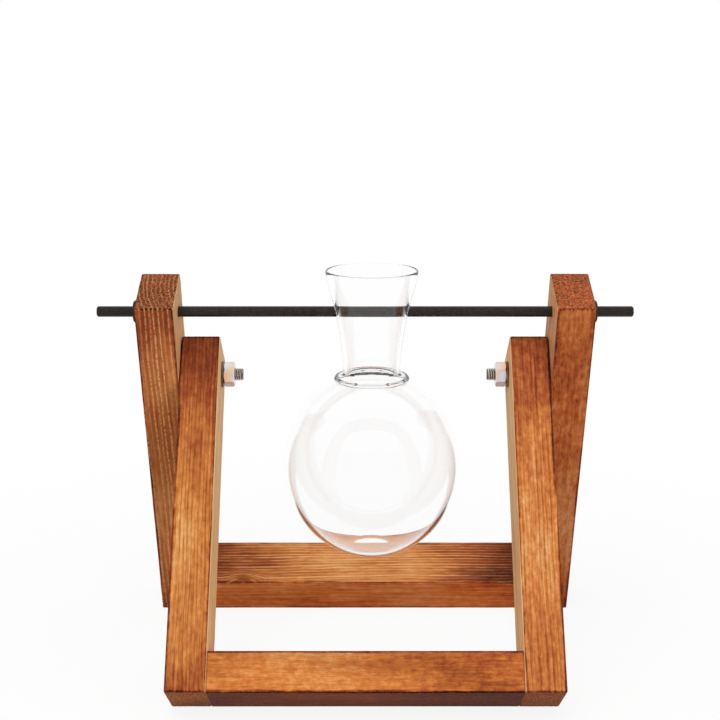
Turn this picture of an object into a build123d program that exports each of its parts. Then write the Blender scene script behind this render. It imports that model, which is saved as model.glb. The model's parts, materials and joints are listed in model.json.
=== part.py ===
from build123d import *
import math
import os

# A folding wooden stand: two U-shaped frames crossed and bolted like scissors,
# with a glass vase hung from a rod across the tops of the rear frame.
# Sizes are in millimetres and angles in degrees. X runs along the rod,
# Y away from the front, Z up; the origin is under the middle, on the floor.

# Batten: all six bars are cut from it
batten_thickness = 17.5
batten_width = 30.5
edge_easing = 0.8
drill_overrun = 1.0

# Front frame, the inner one, which leans back
front_post_length = 161.5
front_pivot_below_top = 12.5
front_opening = 131.5

# Rear frame, the outer one, which leans forward
rear_pivot_height = 131.5
side_clearance = 0.3

# The stance: both frames stand on one long edge of their feet, this far apart
feet_apart = 110.0

# Hidden dowels that hold each crossbar between its posts
dowel_radius = 3.0
dowel_length = 28.0
dowel_depth_in_post = 9.5
dowel_spacing = 15.0
dowel_chamfer = 0.6
dowel_end_gap = 0.5
dowel_glue_gap = 0.05

# Countersunk pivot bolts with a washer and a nut inside the front posts
bolt_radius = 3.0
bolt_head_radius = 6.0
bolt_head_rim = 0.4
bolt_head_recess = 0.2
bolt_tip_projection = 3.9
bolt_tip_chamfer = 0.8
bolt_running_clearance = 0.08
bolt_seat_clearance = 0.3
socket_across_flats = 4.0
socket_depth = 2.5
washer_radius = 6.0
washer_thickness = 1.0
washer_hole_clearance = 0.2
nut_across_flats = 10.0
nut_thickness = 5.0
nut_corner_chamfer = 0.7
nut_thread_gap = 0.05

# Rod across the tops of the rear posts, above the swing of the front posts' tops,
# and the rubber rings that keep it there
rod_radius = 2.4
rod_swing_clearance = 11.9
rod_below_post_top = 11.0
rod_free_end = 16.4
rod_end_chamfer = 0.5
rod_running_clearance = 0.08
ring_radius = 5.0
ring_thickness = 2.25
ring_rounding = 0.9
ring_grip_gap = 0.02
ring_post_clearance = 0.3

# Blown glass vase, with its heights measured from the rod
glass_thickness = 1.5
rim_rounding = 0.6
rim_radius = 20.8
rim_above_rod = 18.8
rim_flare = 0.1
neck_radius_at_rod = 16.4
neck_radius = 12.9
collar_radius = 16.6
collar_height = 2.2
collar_bulge = 0.4
crease_height = 2.0
bulb_radius = 40.0
bulb_half_height = 43.0
bulb_centre_below_rod = 70.8
base_radius = 10.5
base_punt = 1.0
vase_hole_clearance = 0.3
vase_side_offset = 3.0

# What follows from those sizes
front_post_inside = front_opening / 2
front_post_outside = front_post_inside + batten_thickness
rear_post_inside = front_post_outside + side_clearance
rear_post_outside = rear_post_inside + batten_thickness
half_width = batten_width / 2
front_pivot_height = front_post_length - front_pivot_below_top
front_top_swing = math.hypot(front_pivot_below_top, half_width)
rod_height_on_post = rear_pivot_height + front_top_swing + rod_swing_clearance + rod_radius
rear_post_length = rod_height_on_post + rod_below_post_top
bolt_head_depth = bolt_head_rim + bolt_head_radius - bolt_radius
bolt_hole_radius = bolt_radius + bolt_running_clearance
nut_inside = front_post_inside - washer_thickness - nut_thickness
bolt_length = rear_post_outside - bolt_head_recess - nut_inside + bolt_tip_projection
rod_hole_radius = rod_radius + rod_running_clearance
ring_inside = rear_post_outside + ring_post_clearance
rod_length = 2 * (ring_inside + ring_thickness + rod_free_end)


def stance():
    """Lean of each frame, height of the pivot and its place between the frames' outer corners.

    The floor and the two frames make a triangle. Its base is the distance between the feet,
    and its sides run from the pivot to the rounded edges that the feet stand on.
    """
    across = half_width - edge_easing
    front_along = front_pivot_height - edge_easing
    rear_along = rear_pivot_height - edge_easing
    front_side = math.hypot(front_along, across)
    rear_side = math.hypot(rear_along, across)
    front_base = (feet_apart**2 + front_side**2 - rear_side**2) / (2 * feet_apart)
    rear_base = feet_apart - front_base
    rise = math.sqrt(front_side**2 - front_base**2)
    front_angle = math.asin(front_base / front_side) + math.atan2(across, front_along)
    rear_angle = math.asin(rear_base / rear_side) + math.atan2(across, rear_along)
    front_reach = front_along * math.sin(front_angle) + across * math.cos(front_angle)
    rear_reach = rear_along * math.sin(rear_angle) + across * math.cos(rear_angle)
    leans = [math.degrees(front_angle), math.degrees(rear_angle)]
    return leans, rise + edge_easing, (front_reach - rear_reach) / 2


(front_lean, rear_lean), pivot_height, pivot_place = stance()
pivot = Location((0, pivot_place, pivot_height))
front_place = pivot * Location((0, 0, 0), (-front_lean, 0, 0)) * Location((0, 0, -front_pivot_height))
rear_place = pivot * Location((0, 0, 0), (rear_lean, 0, 0)) * Location((0, 0, -rear_pivot_height))
rod_place = Location((rear_place * Location((0, 0, rod_height_on_post))).position)


def round_bar(radius, length, near_chamfer, far_chamfer):
    """A round bar from the origin along +X, chamfered at its ends."""
    outline = Polyline(
        (0, 0),
        (0, radius - near_chamfer),
        (near_chamfer, radius),
        (length - far_chamfer, radius),
        (length, radius - far_chamfer),
        (length, 0),
        close=True,
    )
    return revolve(make_face(outline), Axis.X)


def cross_hole(radius, start, end, y, z):
    """The drill's path along X between two places."""
    bore = Cylinder(radius, end - start, align=(Align.CENTER, Align.CENTER, Align.MIN))
    return Location((start, y, z), (0, 90, 0)) * bore


def mirrored(piece):
    """The left-hand copy of a right-hand piece."""
    return mirror(piece, Plane.YZ)


def dowel_places():
    """Where a crossbar's dowels lie across its width."""
    return [-dowel_spacing / 2, dowel_spacing / 2]


def dowel_holes(post_inside):
    """The drilled holes for the dowels on the right-hand side of a frame."""
    holes = []
    start = post_inside + dowel_depth_in_post - dowel_length - dowel_end_gap
    end = post_inside + dowel_depth_in_post + dowel_end_gap
    for y in dowel_places():
        holes.append(cross_hole(dowel_radius + dowel_glue_gap, start, end, y, batten_thickness / 2))
    return holes


def post(length, inside, extra_holes):
    """A right-hand post on its feet, eased on every edge and drilled on its inner face."""
    bar = Box(batten_thickness, batten_width, length, align=(Align.MIN, Align.CENTER, Align.MIN))
    bar = fillet(bar.edges(), edge_easing)
    bar = Location((inside, 0, 0)) * bar
    for hole in dowel_holes(inside) + extra_holes:
        bar = bar - hole
    return bar


def crossbar(post_inside):
    """The bottom bar of a frame, flush with its posts and drilled at both ends."""
    length = 2 * post_inside
    bar = Box(length, batten_width, batten_thickness, align=(Align.CENTER, Align.CENTER, Align.MIN))
    bar = fillet(bar.edges().filter_by(Axis.X), edge_easing)
    for hole in dowel_holes(post_inside):
        bar = bar - hole - mirrored(hole)
    return bar


def dowels(post_inside):
    """The glued dowels on the right-hand side of a frame."""
    pins = []
    start = post_inside + dowel_depth_in_post - dowel_length
    for y in dowel_places():
        pin = round_bar(dowel_radius, dowel_length, dowel_chamfer, dowel_chamfer)
        pins.append(Location((start, y, batten_thickness / 2)) * pin)
    return pins


def countersink():
    """The seat for a bolt head in a rear post's outer face, around the pivot."""
    slant_clearance = bolt_seat_clearance * math.sqrt(2)
    mouth_radius = bolt_head_radius + slant_clearance
    rim_depth = bolt_head_recess + bolt_head_rim
    outline = Polyline(
        (rear_post_outside + drill_overrun, 0),
        (rear_post_outside + drill_overrun, mouth_radius),
        (rear_post_outside - rim_depth, mouth_radius),
        (rear_post_outside - rim_depth - mouth_radius, 0),
        close=True,
    )
    return Location((0, 0, rear_pivot_height)) * revolve(make_face(outline), Axis.X)


def front_post():
    """Right-hand post of the front frame, with the pivot hole through it."""
    start = front_post_inside - drill_overrun
    end = front_post_outside + drill_overrun
    pivot_hole = cross_hole(bolt_hole_radius, start, end, 0, front_pivot_height)
    return post(front_post_length, front_post_inside, [pivot_hole])


def rear_post():
    """Right-hand post of the rear frame, with the pivot hole, its countersink and the rod hole."""
    start = rear_post_inside - drill_overrun
    end = rear_post_outside + drill_overrun
    pivot_hole = cross_hole(bolt_hole_radius, start, end, 0, rear_pivot_height)
    rod_hole = cross_hole(rod_hole_radius, start, end, 0, rod_height_on_post)
    return post(rear_post_length, rear_post_inside, [pivot_hole, countersink(), rod_hole])


def hexagon(across_flats):
    """A hexagon in the YZ plane with two of its corners in line with Y."""
    return Plane.YZ * RegularPolygon(across_flats / 2, 6, major_radius=False)


def pivot_bolt():
    """Right-hand countersunk bolt, its flat head just under the rear post's outer face."""
    shank = bolt_length - bolt_head_depth
    outline = Polyline(
        (0, 0),
        (0, bolt_radius - bolt_tip_chamfer),
        (bolt_tip_chamfer, bolt_radius),
        (shank, bolt_radius),
        (bolt_length - bolt_head_rim, bolt_head_radius),
        (bolt_length, bolt_head_radius),
        (bolt_length, 0),
        close=True,
    )
    bolt = revolve(make_face(outline), Axis.X)
    socket = extrude(hexagon(socket_across_flats), socket_depth)
    bolt = bolt - Location((bolt_length - socket_depth, 0, 0)) * socket
    start = nut_inside - bolt_tip_projection
    return Location((start, 0, front_pivot_height)) * bolt


def washer():
    """Thin washer between the right-hand nut and the front post."""
    disc = cross_hole(washer_radius, 0, washer_thickness, 0, 0)
    disc = disc - cross_hole(bolt_radius + washer_hole_clearance, 0, washer_thickness, 0, 0)
    return Location((front_post_inside - washer_thickness, 0, front_pivot_height)) * disc


def hex_nut():
    """Right-hand hexagon nut, its corners turned off on both faces."""
    nut = extrude(hexagon(nut_across_flats), nut_thickness)
    corner_radius = nut_across_flats / math.sqrt(3)
    turned = round_bar(corner_radius, nut_thickness, nut_corner_chamfer, nut_corner_chamfer)
    nut = (nut & turned) - cross_hole(bolt_radius + nut_thread_gap, 0, nut_thickness, 0, 0)
    return Location((nut_inside, 0, front_pivot_height)) * nut


def hanging_rod():
    """The rod, as long on the left as on the right."""
    rod = round_bar(rod_radius, rod_length, rod_end_chamfer, rod_end_chamfer)
    return Location((-rod_length / 2, 0, 0)) * rod


def rod_ring():
    """Right-hand rubber ring that stops the rod from sliding through the posts."""
    ring = cross_hole(ring_radius, 0, ring_thickness, 0, 0)
    outer_edges = ring.edges().filter_by(GeomType.CIRCLE)
    ring = fillet(outer_edges, ring_rounding)
    ring = ring - cross_hole(rod_radius + ring_grip_gap, 0, ring_thickness, 0, 0)
    return Location((ring_inside, 0, 0)) * ring


def bulb_wall(inset, low_radius, high_radius):
    """The bulb's side, an ellipse between two radii near its base and its neck."""
    wide = bulb_radius - inset
    start = -math.degrees(math.acos(low_radius / wide))
    end = math.degrees(math.acos(high_radius / wide))
    tall = bulb_half_height - inset
    return EllipticalCenterArc((0, -bulb_centre_below_rod), wide, tall, start, arc_size=end - start)


def neck_wall(inset, foot):
    """The neck's side, straight at its foot and flaring past the rod to the rim."""
    points = [
        (neck_radius - inset, foot),
        (neck_radius_at_rod - inset, 0),
        (rim_radius - inset, rim_above_rod),
    ]
    return Spline(points, tangents=[(0, 1), (rim_flare, 1)])


def vase_section():
    """Half of the vase's wall, cut through its axis."""
    outer_bulb = bulb_wall(0, base_radius, collar_radius)
    inner_bulb = bulb_wall(glass_thickness, base_radius, neck_radius - glass_thickness)
    outer_base = outer_bulb @ 0
    inner_base = inner_bulb @ 0
    outer_middle = Vector(0, outer_base.Y + base_punt)
    inner_middle = Vector(0, inner_base.Y + base_punt)
    collar_foot = outer_bulb @ 1
    collar_side = Vector(collar_radius + collar_bulge, collar_foot.Y + collar_height / 2)
    collar_top = Vector(collar_radius - collar_bulge, collar_foot.Y + collar_height)
    neck_foot = collar_top.Y + crease_height
    outer_neck = neck_wall(0, neck_foot)
    inner_neck = neck_wall(glass_thickness, neck_foot)
    outside = [
        TangentArc(outer_middle, outer_base, tangent=(1, 0)),
        outer_bulb,
        ThreePointArc(collar_foot, collar_side, collar_top),
        TangentArc(outer_neck @ 0, collar_top, tangent=(0, -1)),
        outer_neck,
    ]
    inside = [
        inner_neck,
        Line(inner_neck @ 0, inner_bulb @ 1),
        inner_bulb,
        TangentArc(inner_middle, inner_base, tangent=(1, 0)),
    ]
    rim = Line(outer_neck @ 1, inner_neck @ 1)
    axis = Line(outer_middle, inner_middle)
    return make_face(outside + [rim] + inside + [axis])


def glass_vase():
    """The vase around the rod, upright, with a hole drilled on each side of its neck."""
    vase = Location((0, 0, 0), (90, 0, 0)) * revolve(vase_section(), Axis.Y)
    rim_edges = vase.edges().filter_by(GeomType.CIRCLE).group_by(Axis.Z)[-1]
    vase = fillet(rim_edges, rim_rounding)
    reach = rim_radius + drill_overrun
    return vase - cross_hole(rod_radius + vase_hole_clearance, -reach, reach, 0, 0)


def both_sides(nodes, name, piece):
    """Adds a right-hand piece and its left-hand copy."""
    nodes[name + "_right"] = piece
    nodes[name + "_left"] = mirrored(piece)


def stand():
    """Every piece in its place, by name."""
    nodes = {}
    nodes["front_crossbar"] = front_place * crossbar(front_post_inside)
    nodes["rear_crossbar"] = rear_place * crossbar(rear_post_inside)
    nodes["hanging_rod"] = rod_place * hanging_rod()
    nodes["glass_vase"] = rod_place * Location((vase_side_offset, 0, 0)) * glass_vase()
    both_sides(nodes, "front_post", front_place * front_post())
    both_sides(nodes, "rear_post", rear_place * rear_post())
    both_sides(nodes, "pivot_bolt", front_place * pivot_bolt())
    both_sides(nodes, "nut_washer", front_place * washer())
    both_sides(nodes, "hex_nut", front_place * hex_nut())
    both_sides(nodes, "rod_ring", rod_place * rod_ring())
    for number, pin in enumerate(dowels(front_post_inside), 1):
        both_sides(nodes, f"front_dowel_{number}", front_place * pin)
    for number, pin in enumerate(dowels(rear_post_inside), 1):
        both_sides(nodes, f"rear_dowel_{number}", rear_place * pin)
    return nodes


os.makedirs("parts", exist_ok=True)
for node, piece in stand().items():
    export_step(piece, f"parts/{node}.step")
rod_centre = rod_place.position
print(f"pivot {pivot_place:.3f} {pivot_height:.3f}, leans {front_lean:.3f} {rear_lean:.3f}")
print(f"rod {rod_centre.Y:.3f} {rod_centre.Z:.3f}, length {rod_length:.2f}, bolt length {bolt_length:.2f}")
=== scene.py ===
import bpy
import bmesh
import json
import math
from mathutils import Matrix, Vector


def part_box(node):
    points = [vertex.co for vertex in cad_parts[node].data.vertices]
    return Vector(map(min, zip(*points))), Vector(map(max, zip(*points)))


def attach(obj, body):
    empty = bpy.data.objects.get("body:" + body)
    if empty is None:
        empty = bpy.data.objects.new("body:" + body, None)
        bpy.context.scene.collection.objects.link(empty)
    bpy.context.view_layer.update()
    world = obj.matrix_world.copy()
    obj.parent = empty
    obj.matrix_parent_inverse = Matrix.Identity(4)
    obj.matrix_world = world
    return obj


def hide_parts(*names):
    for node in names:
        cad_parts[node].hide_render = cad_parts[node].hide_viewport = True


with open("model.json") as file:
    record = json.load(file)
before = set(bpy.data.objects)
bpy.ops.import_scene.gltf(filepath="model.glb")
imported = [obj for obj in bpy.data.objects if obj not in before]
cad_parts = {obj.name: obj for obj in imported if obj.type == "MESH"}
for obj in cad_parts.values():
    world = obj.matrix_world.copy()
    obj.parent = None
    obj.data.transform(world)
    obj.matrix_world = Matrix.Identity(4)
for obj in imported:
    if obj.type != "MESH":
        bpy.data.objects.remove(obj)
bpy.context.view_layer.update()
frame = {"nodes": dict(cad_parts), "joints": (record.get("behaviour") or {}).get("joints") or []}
print("stage 1: frame loaded,", len(frame["nodes"]), "nodes")

mm = 0.001
joints = {joint["name"]: Vector(joint["pos_m"]) for joint in frame["joints"] if "pos_m" in joint}
foldPivot = joints["frame_fold"]
rodCentre = joints["vase_swing"]


# Small helpers for node trees, used by the materials and by the geometry trees

def plug(tree, socket, value):
    if isinstance(value, bpy.types.NodeSocket):
        tree.links.new(value, socket)
    else:
        socket.default_value = value


def put(tree, kind, wires=None, **settings):
    node = tree.nodes.new(kind)
    for name, value in settings.items():
        setattr(node, name, value)
    for name, value in (wires or {}).items():
        plug(tree, node.inputs[name], value)
    return node


def calc(tree, operation, first, second=0.0, third=0.0):
    node = put(tree, "ShaderNodeMath", {0: first, 1: second, 2: third}, operation=operation)
    return node.outputs[0]


def vectorCalc(tree, operation, first, second=(0, 0, 0), third=(0, 0, 0)):
    node = put(tree, "ShaderNodeVectorMath", {0: first, 1: second, 2: third}, operation=operation)
    return node.outputs["Vector"]


def scaled(tree, vector, factor):
    return put(tree, "ShaderNodeVectorMath", {0: vector, 3: factor}, operation="SCALE").outputs["Vector"]


def ease(tree, value, low, high, start=0.0, end=1.0):  # a soft step from start to end between low and high
    wires = {"Value": value, "From Min": low, "From Max": high, "To Min": start, "To Max": end}
    return put(tree, "ShaderNodeMapRange", wires, interpolation_type="SMOOTHSTEP").outputs[0]


def noise(tree, vector, scale, detail=2.0, roughness=0.5):
    wires = {"Vector": vector, "Scale": scale, "Detail": detail, "Roughness": roughness}
    return put(tree, "ShaderNodeTexNoise", wires).outputs[0]


def blended(tree, factor, first, second, way="MIX"):
    node = put(tree, "ShaderNodeMix", {0: factor, 6: first, 7: second}, data_type="RGBA", blend_type=way)
    node.clamp_factor = True
    return node.outputs[2]


def ramp(tree, value, stops):
    node = put(tree, "ShaderNodeValToRGB", {0: value})
    elements = node.color_ramp.elements
    while len(elements) < len(stops):
        elements.new(0.5)
    for element, (place, colour) in zip(elements, stops):
        element.position = place
        element.color = colour
    return node.outputs[0]


def screen(red, green, blue):  # a colour as it reads on a screen, 0 to 255, made linear
    parts = [value / 255 for value in (red, green, blue)]
    return (*[v / 12.92 if v <= 0.04045 else ((v + 0.055) / 1.055) ** 2.4 for v in parts], 1)


def newMaterial(name):
    material = bpy.data.materials.new(name)
    material.use_nodes = True
    tree = material.node_tree
    shader = tree.nodes["Principled BSDF"]
    return material, tree, shader


# Wood. Every batten has its own growth rings, stain and scorching

stain = {
    "scorched": screen(46, 17, 9),
    "dark": screen(105, 48, 31),
    "red": screen(161, 81, 44),
    "honey": screen(212, 132, 66),
    "pale": screen(240, 184, 118),
    "lineDark": screen(92, 38, 18),
    "lineLight": screen(252, 192, 136),
    # Painted sheen: the next three colours paint the faces between the posts pale, for the white surroundings
    # they reflect at a grazing angle
    "sheenDark": screen(220, 152, 92),
    "sheenMiddle": screen(255, 198, 134),
    "sheenBright": screen(255, 228, 180),
    "pore": screen(228, 160, 102),
    # Painted light: a warm bounce light on the down-facing foot ends
    "footBounceTint": (1.1, 0.97, 0.96, 1.0),
    "endTone": -0.26,
    "sheenLine": 0.25,
    "sheenStreak": (3.0, 0.68),
    "ridgeLoss": -1.6,
    "roughness": 0.5,
    "shine": 0.012,
}

# The wood's noises: cells to a millimetre across and along, an offset, the detail and the roughness
woodNoises = {
    "blotch": ((0.045, 0.045, 0.020), 3.1, 2.0, 0.55),
    "streak": ((0.95, 0.95, 0.030), 7.7, 3.0, 0.60),
    "mottle": ((0.42, 0.42, 0.24), 12.9, 3.0, 0.65),
    "fibre": ((3.4, 3.4, 0.16), 21.3, 2.0, 0.55),
    "fleck": ((0.95, 0.95, 0.60), 33.0, 2.0, 0.55),
}

# Where one look gives way to the next, in millimetres below a face
depths = {
    "front": (0.3, 0.9), "inner": (0.25, 0.6), "end": (0.15, 0.5), "line": (0.4, 1.4),
    "rim": (0.2, 1.3), "bore": (0.5, 1.4),
}

# How the growth rings and the scorching stray. Cells are noise cells to a millimetre
figure = {
    "swayCells": (0.02, 0.02, 0.011), "wobbleCells": (0.22, 0.22, 0.035), "ringAside": 1.7,
    "knotSquash": 0.6, "ringPlace": (0.3, 0.35), "ringStrength": (0.7, 0.4), "strengthTwist": 7.3,
    "dashCells": 0.9, "dashBand": (0.34, 0.54), "fieldAside": 0.37, "fleckBand": (0.02, 0.20),
    "scorchStray": 34.0, "rimMottle": 0.7, "rimStreak": 2.4, "rimOffEnd": -0.6,
    # on this line, the last entry is painted shade in the drilled holes
    "knotBand": (0.6, 0.95), "knotDark": 0.4, "boreShade": 0.82,
}

endPores = {"scale": 1.1, "roughness": 0.6, "pore": (0.44, 0.70, 0.0, 0.42), "pit": (0.30, 0.46, 0.24, 0.0)}

# What the noises add to the roughness and to the bumps
surface = {
    "mottleRough": 0.35, "fibreRough": 0.15, "lineRise": 0.6, "fibreRise": 0.9, "mottleRise": 0.5,
    "bump": 0.55, "bumpDepth": 0.12 * mm,
}


def growthRings(tree, local, wood):  # how strong a ring line is here, and how near the knot is
    thick, wide, along = put(tree, "ShaderNodeSeparateXYZ", {0: local}).outputs
    seed = wood["seed"]
    aside = calc(tree, "MULTIPLY", seed, figure["ringAside"])
    shift = put(tree, "ShaderNodeCombineXYZ", {0: seed, 1: aside, 2: 0.0}).outputs[0]
    slow = noise(tree, vectorCalc(tree, "MULTIPLY_ADD", local, figure["swayCells"], shift), 1.0, 1.0)
    sway = calc(tree, "MULTIPLY", calc(tree, "SUBTRACT", slow, 0.5), wood["sway"])
    quick = noise(tree, vectorCalc(tree, "MULTIPLY_ADD", local, figure["wobbleCells"], shift), 1.0, 2.0)
    wobble = calc(tree, "MULTIPLY", calc(tree, "SUBTRACT", quick, 0.5), wood["wobble"])
    across = calc(tree, "SUBTRACT", thick, wood["pithThick"])
    across = calc(tree, "MULTIPLY_ADD", along, wood["slant"], across)
    depth = calc(tree, "SUBTRACT", wide, wood["pithWide"])
    squares = calc(tree, "MULTIPLY_ADD", across, across, calc(tree, "MULTIPLY", depth, depth))
    distance = calc(tree, "SQRT", squares)
    distance = calc(tree, "ADD", calc(tree, "ADD", distance, sway), wobble)
    knotWide = calc(tree, "SUBTRACT", wide, wood["knotWide"])
    knotAlong = calc(tree, "SUBTRACT", along, wood["knotAlong"])
    knotAlong = calc(tree, "MULTIPLY", knotAlong, figure["knotSquash"])
    knot = calc(tree, "MULTIPLY_ADD", knotWide, knotWide, calc(tree, "MULTIPLY", knotAlong, knotAlong))
    knot = calc(tree, "SQRT", knot)
    around = ease(tree, knot, 0.0, wood["knotReach"], 1.0, 0.0)
    distance = calc(tree, "MULTIPLY_ADD", around, wood["knotPull"], distance)
    phase = calc(tree, "DIVIDE", distance, wood["spacing"])
    number = calc(tree, "ADD", calc(tree, "FLOOR", phase), seed)
    chance = put(tree, "ShaderNodeTexWhiteNoise", {"W": number}, noise_dimensions="1D").outputs["Value"]
    # No two rings are alike in place or strength
    middle = calc(tree, "MULTIPLY_ADD", chance, *figure["ringPlace"])
    offCentre = calc(tree, "ABSOLUTE", calc(tree, "SUBTRACT", calc(tree, "FRACT", phase), middle))
    line = ease(tree, offCentre, 0.0, wood["lineHalf"], 1.0, 0.0)
    strength = calc(tree, "FRACT", calc(tree, "MULTIPLY", chance, figure["strengthTwist"]))
    line = calc(tree, "MULTIPLY", line, calc(tree, "MULTIPLY_ADD", strength, *figure["ringStrength"]))
    cells = figure["dashCells"]
    dash = put(tree, "ShaderNodeCombineXYZ", {0: cells, 1: cells, 2: wood["dash"]}).outputs[0]
    dashes = noise(tree, vectorCalc(tree, "MULTIPLY_ADD", local, dash, shift), 1.0, 1.0)
    broken = ease(tree, dashes, *figure["dashBand"], wood["broken"], 1.0)
    return calc(tree, "MULTIPLY", line, broken), around


def battenCoordinates(tree, wood):  # millimetres from the batten's centre: thickness, width, length
    coordinates = put(tree, "ShaderNodeTexCoord").outputs["Object"]
    wires = {
        "Vector": coordinates,
        "Location": wood["centre"],
        "Rotation": (wood["lean"], 0, 0),
        "Scale": (mm, mm, mm),
    }
    local = put(tree, "ShaderNodeMapping", wires, vector_type="TEXTURE").outputs[0]
    if not wood["crossbar"]:
        return local
    parts = put(tree, "ShaderNodeSeparateXYZ", {0: local}).outputs
    swapped = {0: parts[2], 1: parts[1], 2: parts[0]}
    return put(tree, "ShaderNodeCombineXYZ", swapped).outputs[0]


def faceDistances(tree, local, wood):  # how deep a point lies, and how far it is from the nearest edge
    inside = vectorCalc(tree, "SUBTRACT", wood["half"], vectorCalc(tree, "ABSOLUTE", local))
    first, second, third = put(tree, "ShaderNodeSeparateXYZ", {0: inside}).outputs
    low = calc(tree, "MINIMUM", first, second)
    high = calc(tree, "MAXIMUM", first, second)
    depth = calc(tree, "MINIMUM", low, third)
    if wood["crossbar"]:  # its ends are butted against the posts
        return depth, high, third
    edge = calc(tree, "MAXIMUM", low, calc(tree, "MINIMUM", high, third))
    return depth, edge, third


def woodNoise(tree, local, seed, name):  # a noise about nought, which no two battens share
    stretch, offset, detail, roughness = woodNoises[name]
    away = (seed + offset, seed * figure["fieldAside"], offset)
    moved = vectorCalc(tree, "MULTIPLY_ADD", local, stretch, away)
    return calc(tree, "SUBTRACT", noise(tree, moved, 1.0, detail, roughness), 0.5)


def faceMasks(tree, wood, thick, wide, endDepth):  # how much a point belongs to each face
    half = wood["half"]
    innerDepth = calc(tree, "MULTIPLY_ADD", thick, -wood["innerSide"], half[0])
    outerDepth = calc(tree, "MULTIPLY_ADD", thick, wood["innerSide"], half[0])
    wideDepth = calc(tree, "SUBTRACT", half[1], calc(tree, "ABSOLUTE", wide))
    thickDepth = calc(tree, "SUBTRACT", half[0], calc(tree, "ABSOLUTE", thick))
    return {
        "front": ease(tree, wideDepth, *depths["front"], 1.0, 0.0),
        # painted sheen: how much a point takes the pale inner-face colour
        "inner": ease(tree, innerDepth, *depths["inner"], wood["innerSheen"], 0.0),
        # painted shade: how much the underside is darkened
        "under": ease(tree, outerDepth, *depths["inner"], wood["underShade"], 0.0),
        "offTop": ease(tree, thickDepth, *depths["line"], 0.0, wood["lineTop"]),
        "end": ease(tree, endDepth, *depths["end"], 1.0, 0.0),
    }


def scorching(tree, wood, along, blotch, front):  # grows unevenly towards each end and spares an even face
    ends = ((1, wood["scorchHigh"], wood["reachHigh"]), (-1, wood["scorchLow"], wood["reachLow"]))
    burnt = 0.0
    for sign, strength, reach in ends:
        fromEnd = calc(tree, "MULTIPLY_ADD", along, -sign, wood["half"][2])
        fromEnd = calc(tree, "MULTIPLY_ADD", blotch, figure["scorchStray"], fromEnd)
        burnt = calc(tree, "ADD", ease(tree, fromEnd, 0.0, reach, strength, 0.0), burnt)
    spared = calc(tree, "MULTIPLY_ADD", front, -wood["frontEven"], 1.0)
    return calc(tree, "MULTIPLY", burnt, spared)


def stainTone(tree, wood, fields, masks, foot, edge, burnt):  # 0 is scorched and 1 is pale
    tone = wood["tone"]
    for name, field in fields.items():
        tone = calc(tree, "MULTIPLY_ADD", field, wood[name], tone)
    tone = calc(tree, "SUBTRACT", tone, burnt)
    # painted shade: the underside is darkened
    tone = calc(tree, "SUBTRACT", tone, masks["under"])
    endTone = calc(tree, "MULTIPLY_ADD", foot, wood["footLift"], stain["endTone"])
    tone = calc(tree, "MULTIPLY_ADD", masks["end"], endTone, tone)
    worn = calc(tree, "MULTIPLY_ADD", fields["mottle"], figure["rimMottle"], edge)
    worn = calc(tree, "MULTIPLY_ADD", fields["streak"], figure["rimStreak"], worn)
    rim = ease(tree, worn, *depths["rim"], wood["edgeDark"], 0.0)
    rim = calc(tree, "MULTIPLY", rim, calc(tree, "MULTIPLY_ADD", masks["end"], figure["rimOffEnd"], 1.0))
    return calc(tree, "SUBTRACT", tone, rim)


def stainedColour(tree, wood, local, tone, front):
    colour = ramp(tree, tone, [
        (0.0, stain["scorched"]), (0.25, stain["dark"]), (0.5, stain["red"]),
        (0.75, stain["honey"]), (1.0, stain["pale"]),
    ])
    fleck = woodNoise(tree, local, wood["seed"], "fleck")
    fleck = ease(tree, fleck, *figure["fleckBand"], 0.0, wood["fleck"])
    colour = blended(tree, fleck, colour, stain["honey"])
    colour = blended(tree, 1.0, colour, wood["tint"], "MULTIPLY")
    # painted shade: the front and back faces take a redder, slightly darker tint, for their shade under light
    # from above
    return blended(tree, front, colour, blended(tree, 1.0, colour, wood["frontShadeTint"], "MULTIPLY"))


def ringLines(tree, wood, line, burnt, colour):  # dark lines, and light ridges where nothing scorched them
    darkLine = calc(tree, "MULTIPLY", line, wood["lineDark"])
    colour = blended(tree, darkLine, colour, stain["lineDark"])
    kept = calc(tree, "MULTIPLY_ADD", burnt, stain["ridgeLoss"], 1.0)
    lightLine = calc(tree, "MULTIPLY", calc(tree, "MULTIPLY", line, wood["lineLight"]), kept)
    return blended(tree, lightLine, colour, stain["lineLight"])


def paintedSheenColour(tree, line, streak):  # painted sheen: the faces between the posts are painted pale, for the white surroundings they reflect at a grazing angle
    colour = ramp(tree, calc(tree, "MULTIPLY_ADD", streak, *stain["sheenStreak"]), [
        (0.0, stain["sheenDark"]), (0.6, stain["sheenMiddle"]), (1.0, stain["sheenBright"]),
    ])
    return blended(tree, calc(tree, "MULTIPLY", line, stain["sheenLine"]), colour, stain["red"])


def endGrain(tree, local, end, foot, colour):  # speckled with open pores, and redder at the foot, where a warm bounce light is painted
    field = noise(tree, local, endPores["scale"], 2.0, endPores["roughness"])
    pore = calc(tree, "MULTIPLY", ease(tree, field, *endPores["pore"]), end)
    colour = blended(tree, pore, colour, stain["pore"])
    pit = calc(tree, "MULTIPLY", ease(tree, field, *endPores["pit"]), end)
    colour = blended(tree, pit, colour, stain["dark"])
    # painted light: the foot ends take a warm tint for the bounce light on their down-facing faces
    redder = blended(tree, 1.0, colour, stain["footBounceTint"], "MULTIPLY")
    return blended(tree, calc(tree, "MULTIPLY", end, foot), colour, redder)


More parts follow.
